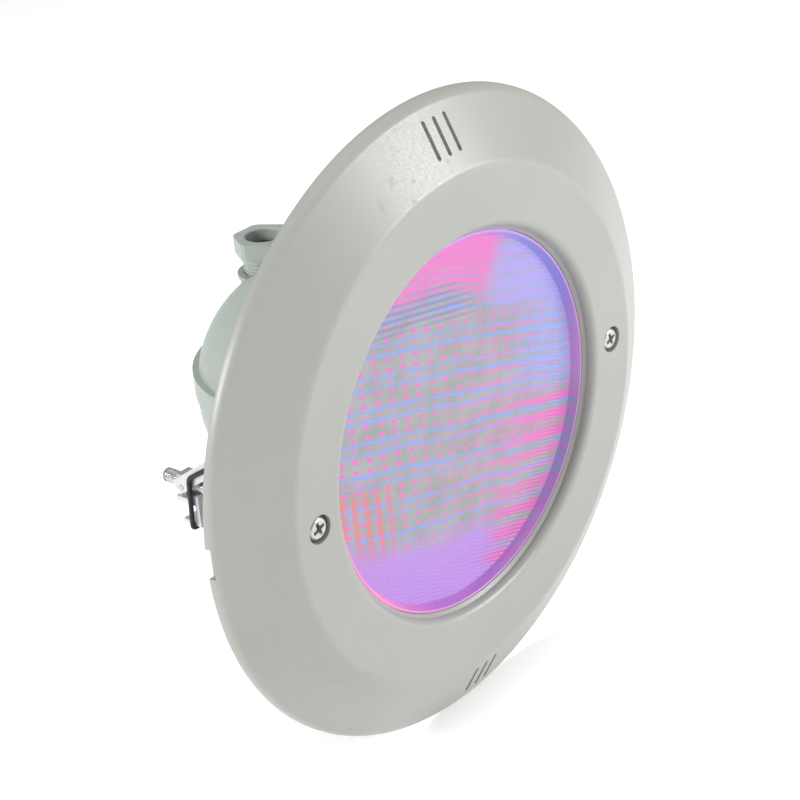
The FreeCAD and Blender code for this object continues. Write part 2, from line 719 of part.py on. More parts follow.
def make_fixing_screw(side, offset):
    body = new_body(f"fixing_screw_{side}", (offset, "0", "0"))
    spin(body, "ScrewBlank", [
        ("0", "-head_top"), ("head_radius - 1", "-head_top"), ("head_radius", "-head_top + 1"),
        ("head_radius", "-head_seat - 0.3"), ("fixing_radius", "-head_seat - 0.3"),
        ("fixing_radius", "fixing_tip"), ("0", "fixing_tip"),
    ])
    round_rings(body, "TipRound", "1.6", [("fixing_radius", "fixing_tip")])
    doc.recompute()

    def cross(sketch):
        long_side, width = size.recess_length / 2, size.recess_width / 2
        draw_outline(sketch, [(str(x), str(z)) for x, z in (
            (long_side, -width), (long_side, width), (width, width), (width, long_side),
            (-width, long_side), (-width, width), (-long_side, width), (-long_side, -width),
            (-width, -width), (-width, -long_side), (width, -long_side), (width, -width))])

    pad(body, "CrossRecess", cross, "recess_depth + 1", offset=("0", "0", "head_top + 1"),
        turn=20, cut=True, back=False)
    return body


def make_screw_clip(side, offset):
    body = new_body(f"screw_clip_{side}", (offset, "0", "0"))
    spin(body, "ClipRing", box_outline("fixing_radius + 0.03", "-clip_front", "clip_radius",
                                       "-clip_front + clip_thickness"))
    return body


def make_claw_nut(side, offset):
    body = new_body(f"claw_nut_{side}", (offset, "pivot_offset", "0"))
    half_width, half_height = size.claw_nut_width / 2, size.claw_nut_height / 2

    def block(sketch):
        draw_outline(sketch, box_outline(str(-half_width), str(-half_height),
                                         str(half_width), str(half_height)))

    def trunnion(sketch):
        draw_circle(sketch, "0", "0", "pivot_radius")

    def bore(sketch):
        draw_circle(sketch, "0", "0", "nut_bore")

    pad(body, "NutBlock", block, "claw_nut_length", both=True)
    doc.recompute()
    pad(body, "Trunnion", trunnion, "wing_outer + wing_outer + 0.4", plane="YZ_Plane", both=True)
    doc.recompute()
    pad(body, "NutBore", bore, "20", cut=True, both=True)
    return body


def make_claw_wing(side, offset):
    """A bent channel: two cheeks on the nut's trunnions, joined by a web along the top."""
    body = new_body(f"claw_wing_{side}", (offset, "pivot_offset", "0"))
    turn = 180 - size.wing_angle

    def cheek(sketch):
        draw_outline(sketch, box_outline("-wing_tail", "-wing_top", "wing_length", "wing_bottom"))

    def gap(sketch):
        draw_outline(sketch, box_outline("-wing_tail - 5", "-wing_top + 1.2", "wing_length + 5",
                                         "wing_bottom + 5"))

    def nut_gap(sketch):
        draw_outline(sketch, box_outline("-wing_tail - 5", "-wing_top - 5", "6.2",
                                         "wing_bottom + 5"))

    def hole(sketch):
        draw_circle(sketch, "0", "0", "pivot_radius + 0.05")

    pad(body, "WingBlank", cheek, "wing_outer + wing_outer", plane="YZ_Plane", both=True,
        turn=turn)
    doc.recompute()
    pad(body, "WingGap", gap, "wing_inner + wing_inner", plane="YZ_Plane", both=True, turn=turn,
        cut=True)
    doc.recompute()
    pad(body, "NutGap", nut_gap, "wing_inner + wing_inner", plane="YZ_Plane", both=True,
        turn=turn, cut=True)
    doc.recompute()
    pad(body, "PivotHole", hole, "30", plane="YZ_Plane", both=True, cut=True)
    return body


def make_claw_hook(side, offset):
    """A bent strip welded under the nut: a leg in front and a toe that points back."""
    body = new_body(f"claw_hook_{side}", (offset, "0", "0"))
    low = -(size.claw_nut_height / 2 + 0.03)
    nut_back = size.pivot_offset + size.claw_nut_length / 2

    def profile(sketch):
        draw_outline(sketch, [
            ("hook_front", "-hook_low"), ("hook_toe", "-hook_low"),
            ("hook_toe", "-hook_low + 1.6"), ("hook_front + hook_sheet", "-hook_low + 1.6"),
            ("hook_front + hook_sheet", str(low - size.hook_sheet)),
            (str(nut_back), str(low - size.hook_sheet)), (str(nut_back), str(low)),
            ("hook_front + hook_sheet", str(low)), ("hook_front + hook_sheet", "-hook_high"),
            ("hook_front", "-hook_high"),
        ])

    def clearance(sketch):
        draw_circle(sketch, "0", "0", "fixing_hole")

    pad(body, "HookStrip", profile, "wing_outer + wing_outer", plane="YZ_Plane", both=True)
    doc.recompute()
    pad(body, "ScrewClearance", clearance, "200", cut=True, both=True)
    return body


def make_claw_band(side, offset):
    """A closed rubber loop from the hook's toe to the wing's tip, one run on each side."""
    angle = math.radians(size.wing_angle)
    run = size.wing_outer + size.rubber_radius + 0.2
    reach, rise = size.wing_length + 1.5, (size.wing_top - size.wing_bottom) / 2

    def on_wing(along, across):
        return (size.pivot_offset - along * math.cos(angle) + across * math.sin(angle),
                along * math.sin(angle) + across * math.cos(angle))

    low = -size.hook_low - size.rubber_radius - 0.1
    outer = [(46.0, low), on_wing(9.13, 1.55), on_wing(reach, rise)]
    loop = [(-run, y, z) for y, z in outer] + [(run, y, z) for y, z in reversed(outer)]
    centre = number(offset)
    points = [FreeCAD.Vector(centre + x, y, z) for x, y, z in loop]
    middle = (points[0] + points[-1]) * 0.5
    ring = [middle] + points + [middle]
    wire = tube_path(ring, 2.2)
    node = doc.addObject("Part::Feature", f"claw_band_{side}")
    node.Label = f"claw_band_{side}"
    node.Shape = tube(wire, size.rubber_radius)
    return node


# ---------------------------------------------------------------- build, check and write

def build():
    nodes = [make_trim_ring(), make_housing()]
    nodes += make_flange_hardware()
    nodes += make_gland()
    nodes += [make_lens(), make_lamp_gasket(), make_lamp_shell(), make_optic_plate(),
              make_led_board()]
    nodes += make_leds()
    nodes += [make_heat_sink(), make_board_screws()]
    nodes += make_driver()
    nodes += make_terminals()
    nodes += make_leads()
    for side, offset in SIDES:
        nodes += [make_fixing_screw(side, offset), make_screw_clip(side, offset),
                  make_claw_nut(side, offset), make_claw_wing(side, offset),
                  make_claw_hook(side, offset), make_claw_band(side, offset)]
    return nodes


def check(nodes):
    doc.recompute()
    faults = [f"{item.Name} is {item.State}" for item in doc.Objects
              if any(word in item.State for word in ("Invalid", "Error"))]
    faults += [f"{node.Label} has no valid solid" for node in nodes
               if node.Shape.isNull() or not node.Shape.isValid() or not node.Shape.Solids]
    if faults:
        raise RuntimeError("; ".join(faults))


def write(nodes):
    for node in nodes:
        node.Shape.exportStep(f"parts/{node.Label}.step")
        box = node.Shape.BoundBox
        print(f"{node.Label:22s} solids {len(node.Shape.Solids):3d} volume {node.Shape.Volume:10.1f}"
              f"  x {box.XMin:7.1f} {box.XMax:7.1f}  y {box.YMin:6.1f} {box.YMax:6.1f}"
              f"  z {box.ZMin:7.1f} {box.ZMax:7.1f}")


NODES = build()
check(NODES)
write(NODES)
print("nodes", len(NODES))
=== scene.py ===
import bmesh
import bpy
import json
import math
from mathutils import Matrix, Vector


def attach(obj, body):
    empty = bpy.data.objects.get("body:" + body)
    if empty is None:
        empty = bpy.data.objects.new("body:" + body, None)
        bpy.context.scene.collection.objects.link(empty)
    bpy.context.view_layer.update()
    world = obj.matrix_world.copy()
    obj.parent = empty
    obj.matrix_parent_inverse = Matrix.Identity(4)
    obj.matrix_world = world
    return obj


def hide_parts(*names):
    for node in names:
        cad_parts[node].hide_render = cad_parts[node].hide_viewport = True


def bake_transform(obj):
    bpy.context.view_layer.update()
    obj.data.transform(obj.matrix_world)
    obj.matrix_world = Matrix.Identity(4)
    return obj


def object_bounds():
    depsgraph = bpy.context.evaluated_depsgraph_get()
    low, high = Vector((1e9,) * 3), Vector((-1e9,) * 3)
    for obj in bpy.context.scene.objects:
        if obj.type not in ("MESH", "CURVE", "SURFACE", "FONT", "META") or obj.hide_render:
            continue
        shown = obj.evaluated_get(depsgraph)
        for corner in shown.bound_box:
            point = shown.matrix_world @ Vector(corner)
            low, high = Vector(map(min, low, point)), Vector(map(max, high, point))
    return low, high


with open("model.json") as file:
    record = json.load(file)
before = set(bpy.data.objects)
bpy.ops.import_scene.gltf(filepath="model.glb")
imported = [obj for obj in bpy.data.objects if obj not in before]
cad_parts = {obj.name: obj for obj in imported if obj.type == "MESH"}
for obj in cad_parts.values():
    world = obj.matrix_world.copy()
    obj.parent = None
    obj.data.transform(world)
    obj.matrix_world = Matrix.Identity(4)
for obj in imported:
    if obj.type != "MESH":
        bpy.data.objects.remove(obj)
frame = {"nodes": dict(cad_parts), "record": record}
cad_bounds = [[float(v) for v in corner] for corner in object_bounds()]

# Lengths below are in millimetres in the CAD's frame, unless a name says otherwise.
MM = 0.001
SCREW_X = 98.0
SIDES = (("left", -SCREW_X), ("right", SCREW_X))
RIB_TILT = math.radians(-17.5)
RIB_PITCH = 1.8
RIB_HEIGHT = 0.26
RIB_BASE = -9.72
LENS_FACE_RADIUS = 79.35
LENS_LIP_RADIUS = 81.0
GLAND_CENTRE = (0, 93.2, 0)
GLAND_THREAD = {"low": 46.6, "high": 56.7, "pitch": 1.5, "crest": 10.0, "cut": 0.5}
SCREW_THREAD = {"low": -8.0, "high": 63.0, "pitch": 1.0, "crest": 3.0, "cut": 0.42}
WING_SLOPE = math.radians(35)
BAND_REACH = 6.2
BAND_RADIUS = 1.0


# ---------------------------------------------------------------- node graphs

def linear(red, green, blue):
    """A display colour from 0 to 255 as linear RGBA."""
    def channel(value):
        value /= 255.0
        return value / 12.92 if value <= 0.04045 else ((value + 0.055) / 1.055) ** 2.4
    return (channel(red), channel(green), channel(blue), 1.0)


class Graph:
    """A material and short ways to add nodes to it."""

    def __init__(self, name):
        self.material = bpy.data.materials.new(name)
        self.material.use_nodes = True
        self.tree = self.material.node_tree
        self.shader = self.tree.nodes["Principled BSDF"]

    def node(self, kind, **settings):
        made = self.tree.nodes.new(kind)
        for key, value in settings.items():
            setattr(made, key, value)
        return made

    def put(self, socket, value):
        if isinstance(socket, str):
            socket = self.shader.inputs[socket]
        if isinstance(value, bpy.types.NodeSocket):
            self.tree.links.new(value, socket)
        else:
            socket.default_value = value

    def place(self):
        return self.node("ShaderNodeTexCoord").outputs["Object"]

    def math(self, operation, a, b=0.0):
        made = self.node("ShaderNodeMath", operation=operation)
        self.put(made.inputs[0], a)
        self.put(made.inputs[1], b)
        return made.outputs[0]

    def times(self, *values):
        total = values[0]
        for value in values[1:]:
            total = self.math("MULTIPLY", total, value)
        return total

    def plus(self, *values):
        total = values[0]
        for value in values[1:]:
            total = self.math("ADD", total, value)
        return total

    def smooth(self, value, low, high, start=0.0, end=1.0):
        made = self.node("ShaderNodeMapRange", interpolation_type="SMOOTHSTEP")
        self.put(made.inputs["Value"], value)
        self.put(made.inputs["From Min"], low)
        self.put(made.inputs["From Max"], high)
        self.put(made.inputs["To Min"], start)
        self.put(made.inputs["To Max"], end)
        return made.outputs[0]

    def wave(self, value, pitch, low=-0.2, high=0.7):
        """1 on the crests of a sine of that pitch and 0 in its troughs."""
        turned = self.math("MULTIPLY", value, 2 * math.pi / pitch)
        return self.smooth(self.math("SINE", turned), low, high)

    def noise(self, vector, scale, detail=2.0):
        made = self.node("ShaderNodeTexNoise")
        self.put(made.inputs["Vector"], vector)
        self.put(made.inputs["Scale"], scale)
        self.put(made.inputs["Detail"], detail)
        return made.outputs[0]

    def mix(self, factor, a, b):
        made = self.node("ShaderNodeMix", data_type="RGBA")
        self.put(made.inputs[0], factor)
        self.put(made.inputs[6], a)
        self.put(made.inputs[7], b)
        return made.outputs[2]

    def ramp(self, value, stops):
        made = self.node("ShaderNodeValToRGB")
        band = made.color_ramp
        while len(band.elements) < len(stops):
            band.elements.new(0.5)
        for element, (position, colour) in zip(band.elements, stops):
            element.position = position
            element.color = colour
        self.put(made.inputs[0], value)
        return made.outputs[0]

    def bump(self, height, strength, distance):
        made = self.node("ShaderNodeBump")
        self.put(made.inputs["Height"], height)
        self.put(made.inputs["Strength"], strength)
        self.put(made.inputs["Distance"], distance)
        self.put("Normal", made.outputs[0])


def surface(name, colour, rough, metal=0.0, grain=1400.0, depth=0.15, drift=0.05,
            marks=0.2, mark_colour=None, brushed=None):
    """A finish with slow colour drift, fine grain, faint marks and uneven gloss."""
    graph = Graph(name)
    place = graph.place()
    base = linear(*colour)
    darker = tuple(c * (1 - drift) for c in base[:3]) + (1.0,)
    lighter = tuple(min(1.0, c * (1 + drift)) for c in base[:3]) + (1.0,)
    broad = graph.smooth(graph.noise(place, 16.0, 3.0), 0.3, 0.7)
    paint = graph.mix(broad, darker, lighter)
    if mark_colour is None:
        mark_colour = tuple(c * 0.62 for c in base[:3]) + (1.0,)
    else:
        mark_colour = linear(*mark_colour)
    spots = graph.smooth(graph.noise(place, grain * 0.16, 5.0), 0.61, 0.74)
    paint = graph.mix(graph.times(spots, marks), paint, mark_colour)
    graph.put("Base Color", paint)
    graph.put("Metallic", metal)
    if brushed:
        stretch = graph.node("ShaderNodeMapping")
        stretch.inputs["Scale"].default_value = brushed
        graph.put(stretch.inputs["Vector"], place)
        place = stretch.outputs[0]
    fine = graph.noise(place, grain, 3.0)
    rougher = graph.times(spots, 0.12)
    graph.put("Roughness", graph.plus(graph.smooth(fine, 0.25, 0.75, rough - 0.07, rough + 0.07),
                                      rougher))
    graph.bump(graph.plus(fine, graph.times(broad, 0.5)), depth, 0.0002)
    return graph.material


def painted_lens_glow():
    """Prism sheet with painted backlight glow: rows of dashes over grey, with pink, lilac and blue
    zones.
    """
    graph = Graph("painted_lens_glow")
    place = graph.place()
    split = graph.node("ShaderNodeSeparateXYZ")
    graph.put(split.inputs[0], place)
    x = graph.times(split.outputs[0], 1000.0)
    depth = graph.times(split.outputs[1], 1000.0)
    z = graph.times(split.outputs[2], 1000.0)
    cosine, sine = math.cos(RIB_TILT), math.sin(RIB_TILT)
    along = graph.plus(graph.times(x, cosine), graph.times(z, sine))
    across = graph.plus(graph.times(x, -sine), graph.times(z, cosine))
    drift = graph.plus(graph.noise(place, 22.0, 2.0), -0.5)
    ripple = graph.plus(graph.noise(place, 75.0, 3.0), -0.5)
    row = graph.plus(across, graph.times(along, -0.03), graph.times(drift, 7.0))
    slant = graph.plus(along, graph.times(across, 0.34), graph.times(ripple, 3.0))
    edge_u = graph.plus(along, graph.times(drift, 34.0))
    edge_v = graph.plus(across, graph.times(drift, 20.0))

    grey = graph.mix(graph.smooth(ripple, -0.2, 0.2), linear(140, 147, 145), linear(160, 158, 164))
    left = graph.smooth(edge_u, 12.0, -48.0)
    right = graph.smooth(edge_u, 22.0, 58.0)
    fine_rows = graph.wave(row, 4.6)
    wide_rows = graph.smooth(graph.wave(row, 13.5, -0.4, 0.4), 0.0, 1.0, 0.35, 1.0)
    dashes = graph.wave(slant, 8.8, 0.0, 0.75)
    between = graph.wave(graph.plus(row, 2.3), 4.6, 0.0, 0.8)

    pink = linear(222, 98, 186)
    blue = linear(128, 150, 228)
    lilac = linear(160, 148, 228)
    purple = linear(180, 124, 222)

    dotted = graph.times(fine_rows, dashes, wide_rows)
    faint = graph.plus(graph.times(left, 0.5), 0.5)
    colour = graph.mix(graph.times(dotted, faint), grey, pink)
    blue_rows = graph.times(between, graph.wave(graph.plus(row, 6.5), 13.5, -0.5, 0.6))
    broken = graph.smooth(graph.noise(place, 150.0, 1.0), 0.35, 0.6)
    strength = graph.plus(graph.times(broken, 0.5), 0.45)
    colour = graph.mix(graph.times(blue_rows, strength), colour, blue)
    thin_lines = graph.times(graph.wave(row, 6.2, 0.35, 0.95), graph.smooth(edge_u, -30.0, 40.0))
    colour = graph.mix(graph.times(thin_lines, 0.55), colour, pink)

    upper_right = graph.times(right, graph.smooth(edge_v, 2.0, 22.0))
    colour = graph.mix(graph.times(upper_right, graph.plus(graph.times(fine_rows, -0.45), 0.85)),
                       colour, linear(142, 156, 226))
    mid_right = graph.times(graph.smooth(edge_u, 18.0, 62.0), graph.smooth(edge_v, 12.0, 2.0),
                            graph.smooth(edge_v, -30.0, -16.0))
    colour = graph.mix(graph.times(mid_right, graph.wave(row, 8.5, -0.4, 0.5), 0.9), colour, pink)

    lines = graph.times(graph.smooth(edge_v, 40.0, 46.0), graph.smooth(edge_v, 62.0, 54.0),
                        graph.smooth(along, 12.0, -18.0))
    stripe = graph.wave(graph.plus(across, graph.times(along, -0.12)), 2.9, -0.3, 0.5)
    colour = graph.mix(graph.times(lines, stripe, 0.75), colour, linear(110, 122, 176))
    top = graph.times(graph.smooth(edge_v, 50.0, 60.0), graph.smooth(edge_u, 20.0, 4.0))
    gaps = graph.times(graph.wave(row, 3.4, -0.1, 0.9), graph.smooth(across, 71.0, 64.0), 0.55)
    colour = graph.mix(graph.times(top, graph.plus(graph.times(gaps, -1.0), 0.95)), colour,
                       linear(224, 102, 190))
    high = graph.times(graph.smooth(edge_v, 40.0, 58.0), graph.smooth(edge_u, 2.0, 22.0))
    soft_rows = graph.times(graph.wave(row, 7.0, -0.6, 0.9), 0.35)
    colour = graph.mix(graph.times(high, graph.plus(soft_rows, 0.6)), colour, lilac)

    streaks = graph.times(graph.wave(slant, 7.4, -0.2, 0.7), graph.smooth(edge_u, -24.0, -44.0),
                          graph.smooth(edge_v, -18.0, -30.0))
    colour = graph.mix(graph.times(streaks, 0.7), colour, linear(220, 106, 110))
    bottom = graph.smooth(edge_v, -44.0, -60.0)
    inner_ribs = graph.times(graph.wave(graph.plus(across, graph.times(along, 0.14)), 1.8), 0.22)
    violet = graph.mix(inner_ribs, purple, linear(150, 110, 205))
    colour = graph.mix(graph.times(bottom, graph.smooth(edge_u, 60.0, 26.0), 0.88), colour, violet)
    low_right = graph.times(graph.smooth(edge_u, 24.0, 40.0), graph.smooth(edge_v, -28.0, -40.0))
    colour = graph.mix(graph.times(low_right, graph.wave(row, 10.0, -0.5, 0.5), 0.85), colour,
                       linear(214, 98, 180))

    angle = graph.math("ARCTAN2", z, x)
    turn = graph.plus(graph.times(angle, 0.5 / math.pi), 0.5)
    wall = graph.ramp(turn, (
        (0.0, linear(206, 100, 168)), (0.10, linear(232, 110, 140)), (0.20, linear(170, 96, 190)),
        (0.34, linear(140, 88, 176)), (0.43, linear(112, 112, 168)), (0.50, linear(170, 92, 176)),
        (0.58, linear(118, 112, 202)), (0.72, linear(104, 124, 204)), (0.80, linear(132, 116, 206)),
        (0.92, linear(214, 104, 186)), (1.0, linear(206, 100, 168))))
    radius = graph.math("SQRT", graph.plus(graph.times(x, x), graph.times(z, z)))
    on_wall = graph.smooth(radius, 79.1, 79.5)
    colour = graph.mix(graph.times(on_wall, 0.75), colour, wall)
    lip = graph.smooth(radius, LENS_LIP_RADIUS - 0.15, LENS_LIP_RADIUS + 0.1)
    colour = graph.mix(lip, colour, graph.mix(0.45, wall, linear(244, 170, 226)))
    behind = graph.smooth(depth, -9.1, -8.6)
    colour = graph.mix(behind, colour, linear(190, 190, 198))
    # Painted glow: the base colour is nearly black and the whole pattern, side wall and lip included,
    # is given out as emission.
    graph.put("Base Color", graph.mix(0.86, colour, (0.02, 0.02, 0.025, 1.0)))
    graph.put("Emission Color", colour)
    graph.put("Emission Strength", 0.86)
    fine = graph.noise(place, 900.0, 2.0)
    graph.put("Roughness", graph.smooth(fine, 0.2, 0.8, 0.16, 0.3))
    graph.bump(fine, 0.08, 0.0001)
    return graph.material


FINISHES = {
    "trim_plastic": surface("moulded_trim", (150, 152, 146), 0.36, depth=0.04, drift=0.025, marks=0.05),
    "housing_plastic": surface("moulded_housing", (148, 156, 150), 0.42, depth=0.08, drift=0.04,
                               marks=0.08),
    "gland_plastic": surface("gland_plastic", (148, 156, 150), 0.42, depth=0.08, marks=0.07),
    "lamp_lens": painted_lens_glow(),
    "lamp_plastic": surface("lamp_body", (188, 190, 192), 0.5, marks=0.12),
    "optic_plastic": surface("prism_sheet", (226, 226, 232), 0.22, grain=700.0, depth=0.3),
    "board_white": surface("white_board", (232, 232, 226), 0.48, grain=900.0, marks=0.15,
                           mark_colour=(196, 160, 92)),
    "led_red": surface("red_chips", (212, 92, 84), 0.3, grain=1100.0),
    "led_green": surface("green_chips", (104, 196, 118), 0.3, grain=1100.0),
    "led_blue": surface("blue_chips", (92, 112, 214), 0.3, grain=1100.0),
    "aluminium": surface("cast_aluminium", (178, 180, 182), 0.38, metal=1.0, depth=0.2,
                         brushed=(1.0, 1.0, 9.0)),
    "board_green": surface("green_board", (38, 98, 62), 0.4, grain=800.0, mark_colour=(120, 150, 90)),
    "component_dark": surface("dark_parts", (48, 48, 54), 0.45, marks=0.3, mark_colour=(120, 120, 128)),
    "brass": surface("brass", (198, 164, 96), 0.3, metal=1.0, marks=0.3, mark_colour=(120, 88, 50)),
    "lead_brown": surface("brown_sleeve", (110, 66, 40), 0.42, marks=0.15),
    "lead_blue": surface("blue_sleeve", (52, 84, 168), 0.42, marks=0.15),
    "stainless": surface("stainless_steel", (186, 186, 186), 0.34, metal=1.0, depth=0.12, marks=0.4,
                         mark_colour=(86, 84, 82), brushed=(1.0, 8.0, 1.0)),
    "claw_steel": surface("claw_steel", (196, 197, 198), 0.42, metal=0.6, depth=0.16, marks=0.25,
                          mark_colour=(130, 128, 124), brushed=(7.0, 1.0, 1.0)),
    "black_rubber": surface("black_rubber", (17, 17, 19), 0.55, depth=0.35, marks=0.3,
                            mark_colour=(74, 74, 76)),
}

for part in frame["record"]["subparts"]:
    shown = frame["nodes"][part["node"]]
    for material_slot in shown.material_slots:
        material_slot.material = FINISHES[part["material_slot"]]


# ---------------------------------------------------------------- mesh tools

def piece(name, corners, faces, finish, body, nodes, sharp=32.0):
    """A mesh in millimetres made into a piece that stands for CAD nodes."""
    mesh = bpy.data.meshes.new(name)
    mesh.from_pydata([Vector(c) * MM for c in corners], [], faces)
    work = bmesh.new()
    work.from_mesh(mesh)
    bmesh.ops.remove_doubles(work, verts=work.verts, dist=1e-7)
    bmesh.ops.recalc_face_normals(work, faces=work.faces)
    work.to_mesh(mesh)
    work.free()
    mesh.materials.append(FINISHES[finish])
    mesh.shade_smooth()
    mesh.set_sharp_from_angle(angle=math.radians(sharp))
    made = bpy.data.objects.new(name, mesh)
    bpy.context.scene.collection.objects.link(made)
    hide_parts(*nodes)
    if body:
        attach(made, body)
    return made


def rounded(outline, steps=5):
    """Corners (r, h, radius) of a closed outline, each replaced by an arc."""
    points = []
    count = len(outline)
    for index, (r, h, radius) in enumerate(outline):
        corner = Vector((r, h))
        if radius <= 0:
            points.append((r, h))
            continue
        before = Vector(outline[index - 1][:2]) - corner
        after = Vector(outline[(index + 1) % count][:2]) - corner
        half = before.angle(after) / 2
        reach = min(radius / math.tan(half), before.length * 0.48, after.length * 0.48)
        first = corner + before.normalized() * reach
        last = corner + after.normalized() * reach
        for step in range(steps + 1):
            t = step / steps
            point = first * (1 - t) ** 2 + corner * 2 * t * (1 - t) + last * t ** 2
            points.append((point.x, point.y))
    return points


def divided(points, longest):
    """The closed outline with no edge longer than that."""
    out = []
    for index, start in enumerate(points):
        end = points[(index + 1) % len(points)]
        length = math.dist(start, end)
        pieces = max(1, math.ceil(length / longest))
        for step in range(pieces):
            t = step / pieces
            out.append((start[0] + (end[0] - start[0]) * t, start[1] + (end[1] - start[1]) * t))
    return out


def threaded(h, turn, low, high, pitch, crest, cut):
    """Radius at height h of a helical thread that fades out at both ends."""
    if not low < h < high:
        return crest
    phase = (h / pitch - turn) % 1.0
    fade = min(1.0, (h - low) / pitch, (high - h) / pitch)
    return crest - cut * (1 - fade * (1 - abs(2 * phase - 1)))


def lathe(points, axis, centre, steps, thread=None):
    """Corners and faces of a closed outline turned about Y or Z."""
    corners, faces = [], []
    for step in range(steps):
        angle = 2 * math.pi * step / steps
        for r, h in points:
            if thread and abs(r - thread["crest"]) < 0.01:
                r = threaded(h, step / steps, **thread)
            if axis == "Y":
                corners.append((centre[0] + r * math.cos(angle), h, centre[2] + r * math.sin(angle)))
            else:
                corners.append((centre[0] + r * math.cos(angle), centre[1] + r * math.sin(angle), h))
    count = len(points)
    for step in range(steps):
        here, there = step * count, ((step + 1) % steps) * count
        for index in range(count):
            following = (index + 1) % count
            faces.append((here + index, here + following, there + following, there + index))
    return corners, faces


def joined(*parts):
    """Several lists of corners and faces as one."""
    corners, faces = [], []
    for more_corners, more_faces in parts:
        base = len(corners)
        corners += more_corners
        faces += [tuple(base + index for index in face) for face in more_faces]
    return corners, faces


def tube(path, radius, sides=14):
    """Corners and faces of a closed round tube along a closed path."""
    corners, faces = [], []
    count = len(path)
    for index in range(count):
        along = (path[(index + 1) % count] - path[index - 1]).normalized()
        side = along.cross(Vector((0.31, 0.83, 0.46))).normalized()
        up = along.cross(side)
        for turn in range(sides):
            angle = 2 * math.pi * turn / sides
            corners.append(path[index] + (side * math.cos(angle) + up * math.sin(angle)) * radius)
    for index in range(count):
        here, there = index * sides, ((index + 1) % count) * sides
        for turn in range(sides):
            following = (turn + 1) % sides
            faces.append((here + turn, here + following, there + following, there + turn))
    return corners, faces


# ---------------------------------------------------------------- lens

def ribbed_disc(radius, face, pitch, height, tilt):
    """A round sheet of straight ribs, each an arch in section."""
    corners, faces = [], []
    per_rib, columns = 6, 28
    rows = int(2 * radius / pitch * per_rib)
    for row in range(rows + 1):
        across = -radius + 2 * radius * row / rows
        reach = math.sqrt(max(radius ** 2 - across ** 2, 0.0))
        lift = height * abs(math.sin(math.pi * across / pitch))
        for column in range(columns + 1):
            along = reach * (2 * column / columns - 1)
            corners.append((along * math.cos(tilt) - across * math.sin(tilt), face - lift,
                            along * math.sin(tilt) + across * math.cos(tilt)))
    for row in range(rows):
        for column in range(columns):
            a = row * (columns + 1) + column
            faces.append((a, a + 1, a + columns + 2, a + columns + 1))
    return corners, faces


lens_outline = rounded([
    (0.001, -9.6, 0), (79.3, -9.6, 0), (79.42, -10.3, 0), (81.0, -14.18, 0.25), (82.0, -14.18, 0.25),
    (82.0, -9.28, 0), (88.0, -9.28, 0.2), (88.0, -7.52, 0.2), (0.001, -7.52, 0)])
piece("lens", *joined(lathe(divided(lens_outline, 8.0), "Y", (0, 0, 0), 240),
                      ribbed_disc(LENS_FACE_RADIUS, RIB_BASE, RIB_PITCH, RIB_HEIGHT, RIB_TILT)),
      "lamp_lens", "light", ["lamp_lens"], sharp=50.0)


# ---------------------------------------------------------------- cable gland

nipple = divided(rounded([
    (7.9, 35.0, 0.2), (10.0, 35.0, 0.2), (10.0, 57.0, 0.25), (8.93, 57.0, 0.15), (8.93, 49.0, 0),
    (7.9, 49.0, 0)]), 0.19)
piece("gland_nipple", *lathe(nipple, "Z", GLAND_CENTRE, 96, thread=GLAND_THREAD),
      "gland_plastic", "light", ["gland_body"], sharp=70.0)


# ---------------------------------------------------------------- fixing screws

def cut(target, cutter_corners, cutter_faces):
    """Take a closed mesh out of a piece."""
    mesh = bpy.data.meshes.new("cutter")
    mesh.from_pydata([Vector(c) * MM for c in cutter_corners], [], cutter_faces)
    work = bmesh.new()
    work.from_mesh(mesh)
    bmesh.ops.recalc_face_normals(work, faces=work.faces)
    work.to_mesh(mesh)
    work.free()
    cutter = bpy.data.objects.new("cutter", mesh)
    bpy.context.scene.collection.objects.link(cutter)
    change = target.modifiers.new("cut", "BOOLEAN")
    change.operation = "DIFFERENCE"
    change.solver = "EXACT"
    change.object = cutter
    bpy.context.view_layer.update()
    graph = bpy.context.evaluated_depsgraph_get()
    result = bpy.data.meshes.new_from_object(target.evaluated_get(graph))
    target.modifiers.remove(change)
    target.data = result
    bpy.data.objects.remove(cutter)
    result.set_sharp_from_angle(angle=math.radians(32))


def cross_cutter(centre_x, top, bottom, length, width, turn):
    """A tapering cross that leaves a Phillips recess."""
    outline = []
    for quarter in range(4):
        angle = turn + quarter * math.pi / 2
        long_side, side = length / 2, width / 2
        for u, v in ((long_side, -side), (long_side, side), (width * 0.62, width * 0.62)):
            outline.append((u * math.cos(angle) - v * math.sin(angle),
                            u * math.sin(angle) + v * math.cos(angle)))
    corners = []
    for y, grow in ((top - 0.5, 1.08), (bottom, 0.55)):
        corners += [(centre_x + u * grow, y, v * grow) for u, v in outline]
    count = len(outline)
    faces = [tuple(range(count)), tuple(range(2 * count - 1, count - 1, -1))]
    for index in range(count):
        following = (index + 1) % count
        faces.append((index, following, count + following, count + index))
    return corners, faces


for side, x in SIDES:
    head = [(0.001, -18.9, 0), (4.0, -18.9, 1.2), (5.2, -17.6, 0.8), (5.2, -14.82, 0.25),
            (3.0, -14.82, 0.2), (3.0, -8.0, 0), (3.0, 63.6, 0.6), (1.7, 65.0, 0.6), (0.001, 65.0, 0)]
    screw = piece(f"screw_{side}",
                  *lathe(divided(rounded(head), 0.16), "Y", (x, 0, 0), 40, thread=SCREW_THREAD),
                  "stainless", None, [f"fixing_screw_{side}"], sharp=60.0)
    cut(screw, *cross_cutter(x, -18.9, -16.5, 6.4, 1.5, math.radians(20)))
    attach(screw, f"screw_{side}")


# ---------------------------------------------------------------- rubber bands

def on_wing(along, out):
    """A point (y, z) on the folded wing, along it and out from it."""
    cosine, sine = math.cos(WING_SLOPE), math.sin(WING_SLOPE)
    return (51 - along * cosine + out * sine, along * sine + out * cosine)


